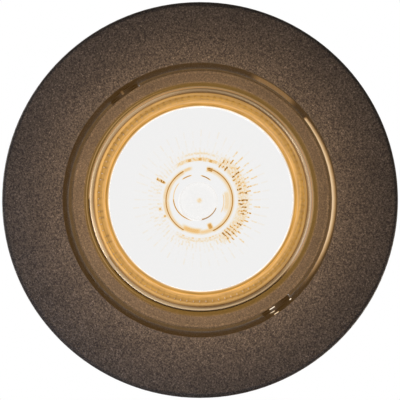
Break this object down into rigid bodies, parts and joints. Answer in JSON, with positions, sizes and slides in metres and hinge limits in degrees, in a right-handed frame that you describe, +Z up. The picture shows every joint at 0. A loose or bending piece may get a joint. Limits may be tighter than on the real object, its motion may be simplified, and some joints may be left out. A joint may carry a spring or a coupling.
{
  "type": "recessed spotlight",
  "caption": "Round recessed ceiling spotlight: a flat trim, a tilting ring that holds a reflector lamp, and sprung clips that grip the ceiling.",
  "frame": {"origin": "on the trim's axis, in the plane where the flange rests on the ceiling's underside", "axes": "+Z up into the ceiling's void, against the direction of the light; +X along the tilt axis; +Y towards clip a"},
  "size_m": [0.092, 0.092, 0.0745],
  "materials": {
    "powder_coat": "fine textured matt bronze-black powder coat on die-cast aluminium",
    "spring_steel": "bright spring steel wire and strip",
    "zinc_steel": "zinc-plated steel",
    "reflector_glass": "pressed glass with a bright coating, glowing warm",
    "clear_glass": "clear glass",
    "tungsten": "tungsten and molybdenum wire",
    "steatite": "off-white unglazed ceramic",
    "nickel_contact": "nickel-plated brass",
    "soft_tip": "black silicone"
  },
  "bodies": {
    "trim": {"trim_ring": "powder_coat", "friction_washers_a": "spring_steel", "clip_bracket_a": "zinc_steel", "clip_rivets_a": "zinc_steel", "clip_pin_a": "zinc_steel", "clip_spring_a": "spring_steel", "friction_washers_b": "spring_steel", "clip_bracket_b": "zinc_steel", "clip_rivets_b": "zinc_steel", "clip_pin_b": "zinc_steel", "clip_spring_b": "spring_steel"},
    "gimbal": {"gimbal_ring": "powder_coat", "retaining_ring": "spring_steel", "lamp_reflector": "reflector_glass", "lamp_cover_glass": "clear_glass", "lamp_capsule": "clear_glass", "lamp_filament": "tungsten", "lamp_leads": "tungsten", "lamp_cement": "steatite", "lamp_base": "steatite", "lamp_pins": "nickel_contact", "lampholder_body": "steatite", "lampholder_contacts": "nickel_contact", "lampholder_cap": "steatite", "lampholder_screws": "zinc_steel", "pivot_screw_a": "zinc_steel", "pivot_screw_b": "zinc_steel"},
    "clip_a": {"clip_blade_a": "spring_steel", "clip_tip_a": "soft_tip"},
    "clip_b": {"clip_blade_b": "spring_steel", "clip_tip_b": "soft_tip"}
  },
  "joints": [
    {"name": "gimbal_tilt", "type": "hinge", "parent": "trim", "child": "gimbal", "pos_m": [0, 0, 0.0051], "axis": [1, 0, 0], "range_deg": [-21.9, 28.1]},
    {"name": "clip_a_swing", "type": "hinge", "parent": "trim", "child": "clip_a", "pos_m": [0, 0.0333, 0.0192], "axis": [1, 0, 0], "range_deg": [0, 158], "stiffness_Nm_per_rad": 0.1, "springref_deg": -20.05, "deforming": ["clip_spring_a"]},
    {"name": "clip_b_swing", "type": "hinge", "parent": "trim", "child": "clip_b", "pos_m": [0, -0.0333, 0.0192], "axis": [-1, 0, 0], "range_deg": [0, 158], "stiffness_Nm_per_rad": 0.1, "springref_deg": -20.05, "deforming": ["clip_spring_b"]}
  ]
}
